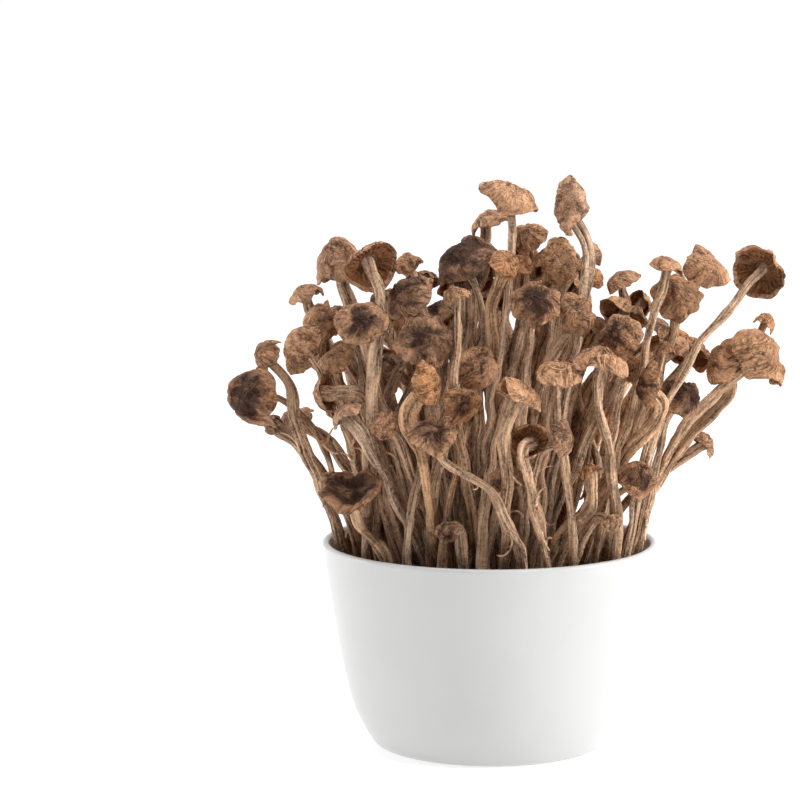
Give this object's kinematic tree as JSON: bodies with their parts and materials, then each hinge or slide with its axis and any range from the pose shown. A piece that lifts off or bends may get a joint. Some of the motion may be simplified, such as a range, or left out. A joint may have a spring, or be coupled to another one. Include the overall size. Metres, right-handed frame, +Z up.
{
  "type": "dried mushroom bunch in a bowl",
  "caption": "Bunch of dried slender-stemmed mushrooms fanned out upright in a plain round bowl: wrinkled fibrous stems, small brown domed, folded and curled caps.",
  "frame": {"origin": "middle of the bowl's flat underside", "axes": "+Z up through the bowl's middle, +X to the right and -Y to the front as the picture shows the bunch"},
  "size_m": [0.1884, 0.139, 0.1971],
  "materials": {
    "bowl": "smooth white glaze, softly glossy",
    "dried_mushroom": "dry and matt, wrinkled caps and fibrous tan stems"
  },
  "bodies": {
    "root": {"bowl": "bowl", "mushroom_27": "dried_mushroom", "mushroom_37": "dried_mushroom", "mushroom_43": "dried_mushroom", "mushroom_44": "dried_mushroom", "mushroom_45": "dried_mushroom", "mushroom_46": "dried_mushroom", "mushroom_49": "dried_mushroom", "mushroom_51": "dried_mushroom", "mushroom_52": "dried_mushroom", "mushroom_53": "dried_mushroom", "mushroom_54": "dried_mushroom", "mushroom_55": "dried_mushroom", "mushroom_56": "dried_mushroom", "mushroom_57": "dried_mushroom", "mushroom_58": "dried_mushroom", "mushroom_pair_12": "dried_mushroom", "mushroom_pair_19": "dried_mushroom", "mushroom_pair_21": "dried_mushroom", "mushroom_pair_24": "dried_mushroom", "mushroom_pair_25": "dried_mushroom", "mushroom_pair_26": "dried_mushroom", "mushroom_pair_28": "dried_mushroom", "mushroom_pair_29": "dried_mushroom", "mushroom_pair_30": "dried_mushroom", "mushroom_pair_31": "dried_mushroom", "mushroom_pair_32": "dried_mushroom", "mushroom_pair_33": "dried_mushroom", "mushroom_pair_34": "dried_mushroom", "mushroom_pair_35": "dried_mushroom", "mushroom_pair_36": "dried_mushroom", "mushroom_pair_38": "dried_mushroom", "mushroom_pair_39": "dried_mushroom", "mushroom_pair_40": "dried_mushroom", "mushroom_pair_41": "dried_mushroom", "mushroom_pair_42": "dried_mushroom", "mushroom_pair_47": "dried_mushroom", "mushroom_pair_48": "dried_mushroom", "mushroom_pair_50": "dried_mushroom", "mushroom_trio_01": "dried_mushroom", "mushroom_trio_02": "dried_mushroom", "mushroom_trio_03": "dried_mushroom", "mushroom_trio_04": "dried_mushroom", "mushroom_trio_05": "dried_mushroom", "mushroom_trio_06": "dried_mushroom", "mushroom_trio_07": "dried_mushroom", "mushroom_trio_08": "dried_mushroom", "mushroom_trio_09": "dried_mushroom", "mushroom_trio_10": "dried_mushroom", "mushroom_trio_11": "dried_mushroom", "mushroom_trio_13": "dried_mushroom", "mushroom_trio_14": "dried_mushroom", "mushroom_trio_15": "dried_mushroom", "mushroom_trio_16": "dried_mushroom", "mushroom_trio_17": "dried_mushroom", "mushroom_trio_18": "dried_mushroom", "mushroom_trio_20": "dried_mushroom", "mushroom_trio_22": "dried_mushroom", "mushroom_trio_23": "dried_mushroom"}
  },
  "joints": []
}
